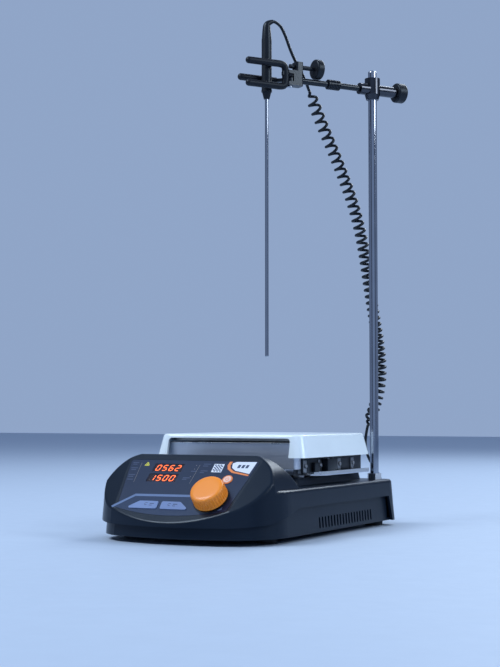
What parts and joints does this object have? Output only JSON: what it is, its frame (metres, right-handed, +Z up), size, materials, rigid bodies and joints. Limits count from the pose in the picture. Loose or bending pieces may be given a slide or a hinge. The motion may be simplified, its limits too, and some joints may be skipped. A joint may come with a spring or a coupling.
{
  "type": "magnetic stirrer",
  "caption": "Heating magnetic stirrer: sloped control console, square coated plate over a heat shield, upright rod with a clamp holding a temperature probe on a curly lead.",
  "frame": {"origin": "on the bench, under the middle of the heating plate", "axes": "+X to the stirrer's right seen from its front, -Y its front, +Z up"},
  "size_m": [0.2272, 0.4091, 0.5726],
  "materials": {
    "housing": "satin dark slate moulding",
    "housing_lower": "satin dark slate moulding",
    "rubber": "black rubber",
    "zinc": "zinc plated",
    "overlay": "printed dark blue film",
    "display": "dark red lens",
    "circuit_board": "green board",
    "metal": "machined",
    "white_plastic": "white",
    "knob_orange": "orange moulding",
    "button_pale": "pale cap",
    "key_silver": "silver blue caps",
    "plate_enamel": "white ceramic coating",
    "heater": "mica",
    "stainless": "brushed sheet",
    "mineral_wool": "pressed wool",
    "copper": "enamelled windings",
    "aluminium": "milled",
    "black_plastic": "black moulding",
    "chrome": "polished",
    "black_metal": "black coated casting",
    "cord": "black sheath"
  },
  "bodies": {
    "root": {"top_shell": "housing", "bottom_shell": "housing_lower", "rubber_feet": "rubber", "case_screws": "zinc", "panel_overlay": "overlay", "displays": "display", "display_board": "circuit_board", "encoder_body": "metal", "power_bezel": "knob_orange", "tact_switches": "black_plastic", "hot_plate": "plate_enamel", "heater_element": "heater", "heater_casing": "stainless", "insulation_pad": "mineral_wool", "heat_shield": "stainless", "plate_posts": "metal", "motor_case": "metal", "motor_bearings": "metal", "stator": "copper", "fan_frame": "black_plastic", "main_board": "circuit_board", "board_parts": "black_plastic", "rear_panel": "housing_lower", "inlet_body": "black_plastic", "fuse_holder": "black_plastic", "switch_frame": "black_plastic", "probe_socket": "metal", "probe_plug": "black_plastic", "rod_socket": "metal", "rod_nut": "chrome", "support_rod": "chrome", "lead_coil": "cord", "lead_tail": "cord"},
    "knob_carrier": {"encoder_plunger": "white_plastic"},
    "control_knob": {"knob": "knob_orange", "encoder_shaft": "metal"},
    "power_key": {"power_button": "button_pale"},
    "left_key": {"key_left": "key_silver"},
    "right_key": {"key_right": "key_silver"},
    "stirrer": {"rotor_spindle": "metal", "magnet_holder": "aluminium", "stir_magnets": "metal"},
    "fan_wheel": {"fan_impeller": "black_plastic"},
    "fuse_drawer": {"fuse_carrier": "black_plastic"},
    "switch_rocker": {"rocker": "black_plastic"},
    "clamp": {"clamp_boss": "black_metal", "clamp_arm": "chrome", "arm_collar": "chrome", "jaw_pin": "metal", "lead_upper": "cord"},
    "boss_pad": {"pressure_pad": "metal"},
    "boss_thumbscrew": {"boss_screw": "black_plastic"},
    "jaw_screw": {"adjusting_screw": "black_plastic"},
    "fork": {"fork_jaw": "chrome", "fork_sleeves": "rubber"},
    "finger": {"single_jaw": "chrome", "single_sleeve": "rubber"},
    "probe": {"probe_tube": "stainless", "probe_handle": "black_plastic", "cord_boot": "rubber"}
  },
  "joints": [
    {"name": "knob_press", "type": "slide", "parent": "root", "child": "knob_carrier", "axis": [0, -0.6928, 0.7211], "range_m": [-0.0008, 0], "stiffness_N_per_m": 2500, "springref_m": 0.0008},
    {"name": "knob_turn", "type": "hinge", "parent": "knob_carrier", "child": "control_knob", "pos_m": [0.041, -0.19285, 0.04461], "axis": [0, -0.6928, 0.7211], "continuous": true},
    {"name": "power_press", "type": "slide", "parent": "root", "child": "power_key", "axis": [0, -0.6928, 0.7211], "range_m": [-0.0005, 0], "stiffness_N_per_m": 1500, "springref_m": 0.0004},
    {"name": "left_key_press", "type": "slide", "parent": "root", "child": "left_key", "axis": [0, -0.6928, 0.7211], "range_m": [-0.0005, 0], "stiffness_N_per_m": 1500, "springref_m": 0.0004},
    {"name": "right_key_press", "type": "slide", "parent": "root", "child": "right_key", "axis": [0, -0.6928, 0.7211], "range_m": [-0.0005, 0], "stiffness_N_per_m": 1500, "springref_m": 0.0004},
    {"name": "stir_spin", "type": "hinge", "parent": "root", "child": "stirrer", "pos_m": [0, 0, 0.05], "axis": [0, 0, 1], "continuous": true},
    {"name": "fan_spin", "type": "hinge", "parent": "root", "child": "fan_wheel", "pos_m": [-0.087, 0.06, 0.0285], "axis": [1, 0, 0], "continuous": true},
    {"name": "fuse_pull", "type": "slide", "parent": "root", "child": "fuse_drawer", "axis": [0, 1, 0], "range_m": [0, 0.03]},
    {"name": "switch_rock", "type": "hinge", "parent": "root", "child": "switch_rocker", "pos_m": [0.016, 0.1205, 0.028], "axis": [1, 0, 0], "range_deg": [-18, 0]},
    {"name": "clamp_height", "type": "slide", "parent": "root", "child": "clamp", "axis": [0, 0, 1], "range_m": [-0.06, 0.008], "deforming": ["lead_coil"]},
    {"name": "boss_screw_turn", "type": "hinge", "parent": "clamp", "child": "boss_thumbscrew", "pos_m": [0.09949, 0.11837, 0.5055], "axis": [0.5744, 0.8186, 0], "range_deg": [0, 360]},
    {"name": "pad_slide", "type": "slide", "parent": "clamp", "child": "boss_pad", "axis": [-0.5744, -0.8186, 0], "range_m": [-0.0008, 0]},
    {"name": "jaw_screw_turn", "type": "hinge", "parent": "clamp", "child": "jaw_screw", "pos_m": [0.04549, 0.04143, 0.521], "axis": [-0.5744, -0.8186, 0], "range_deg": [0, 720]},
    {"name": "fork_open", "type": "hinge", "parent": "clamp", "child": "fork", "pos_m": [0.02481, 0.01196, 0.5055], "axis": [0, 0, 1], "range_deg": [0, 20]},
    {"name": "finger_open", "type": "hinge", "parent": "clamp", "child": "finger", "pos_m": [0.02481, 0.01196, 0.5055], "axis": [0, 0, 1], "range_deg": [-20, 0]},
    {"name": "probe_slide", "type": "slide", "parent": "clamp", "child": "probe", "axis": [0, 0, 1], "range_m": [-0.02, 0], "deforming": ["lead_upper"]}
  ],
  "couplings": [
    {"joint": "pad_slide", "follows": "boss_screw_turn", "m_per_rad": -0.00012732},
    {"joint": "fork_open", "follows": "jaw_screw_turn", "ratio": 0.027778},
    {"joint": "finger_open", "follows": "jaw_screw_turn", "ratio": -0.027778}
  ]
}
